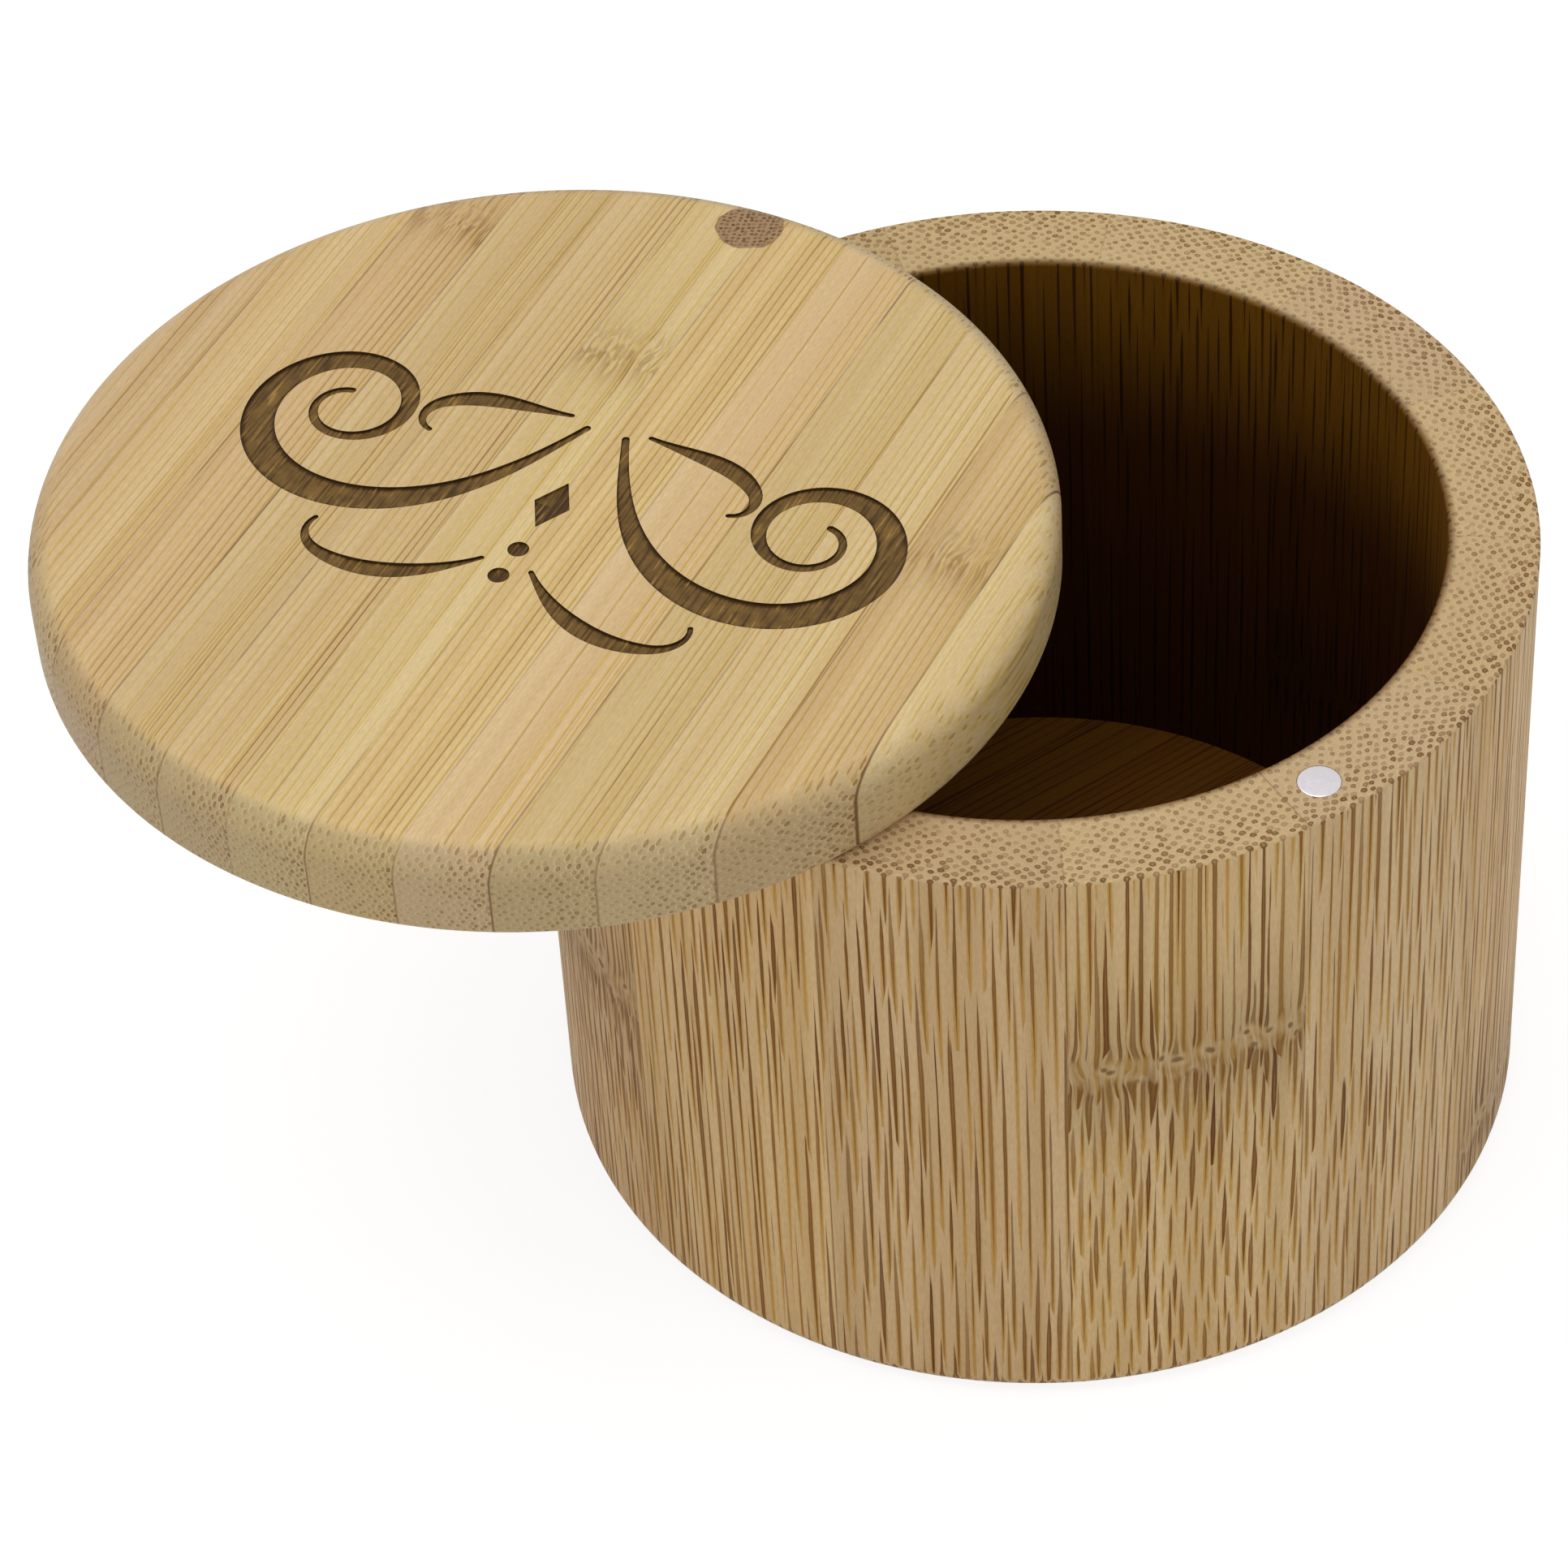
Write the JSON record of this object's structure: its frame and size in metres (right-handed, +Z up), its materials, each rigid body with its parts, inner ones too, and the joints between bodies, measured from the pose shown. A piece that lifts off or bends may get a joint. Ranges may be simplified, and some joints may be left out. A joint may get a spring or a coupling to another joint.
{
  "type": "salt box",
  "caption": "Round bamboo table box for salt with a flat lid that swivels sideways on an upright dowel and is held shut by small round magnets.",
  "frame": {"origin": "centre of the flat base that the box stands on", "axes": "+Z up along the axis of the box, +Y from that axis towards the lid's dowel, -Y towards the magnet in the rim"},
  "size_m": [0.1251, 0.111, 0.073],
  "materials": {
    "wall_bamboo": "sanded bamboo, clear oiled, end grain on the rim",
    "floor_bamboo": "sanded bamboo board",
    "lid_bamboo": "sanded bamboo board, clear oiled, with a burnt ornament",
    "dowel_bamboo": "sanded bamboo end grain",
    "magnet_nickel": "satin nickel plating"
  },
  "bodies": {
    "body": {"stave_01": "wall_bamboo", "stave_02": "wall_bamboo", "stave_03": "wall_bamboo", "stave_04": "wall_bamboo", "stave_05": "wall_bamboo", "stave_06": "wall_bamboo", "stave_07": "wall_bamboo", "stave_08": "wall_bamboo", "stave_09": "wall_bamboo", "stave_10": "wall_bamboo", "stave_11": "wall_bamboo", "stave_12": "wall_bamboo", "stave_13": "wall_bamboo", "floor_strip_01": "floor_bamboo", "floor_strip_02": "floor_bamboo", "floor_strip_03": "floor_bamboo", "floor_strip_04": "floor_bamboo", "floor_strip_05": "floor_bamboo", "floor_strip_06": "floor_bamboo", "floor_strip_07": "floor_bamboo", "floor_strip_08": "floor_bamboo", "floor_strip_09": "floor_bamboo", "floor_strip_10": "floor_bamboo", "floor_strip_11": "floor_bamboo", "rim_magnet": "magnet_nickel"},
    "lid": {"lid_strip_01": "lid_bamboo", "lid_strip_02": "lid_bamboo", "lid_strip_03": "lid_bamboo", "lid_strip_04": "lid_bamboo", "lid_strip_05": "lid_bamboo", "lid_strip_06": "lid_bamboo", "lid_strip_07": "lid_bamboo", "lid_strip_08": "lid_bamboo", "lid_strip_09": "lid_bamboo", "lid_strip_10": "lid_bamboo", "lid_strip_11": "lid_bamboo", "lid_strip_12": "lid_bamboo", "lid_magnet": "magnet_nickel", "pivot_dowel": "dowel_bamboo"}
  },
  "joints": [
    {"name": "lid_swivel", "type": "hinge", "parent": "body", "child": "lid", "pos_m": [0, 0.0405, 0.0645], "axis": [0, 0, 1], "continuous": true}
  ]
}
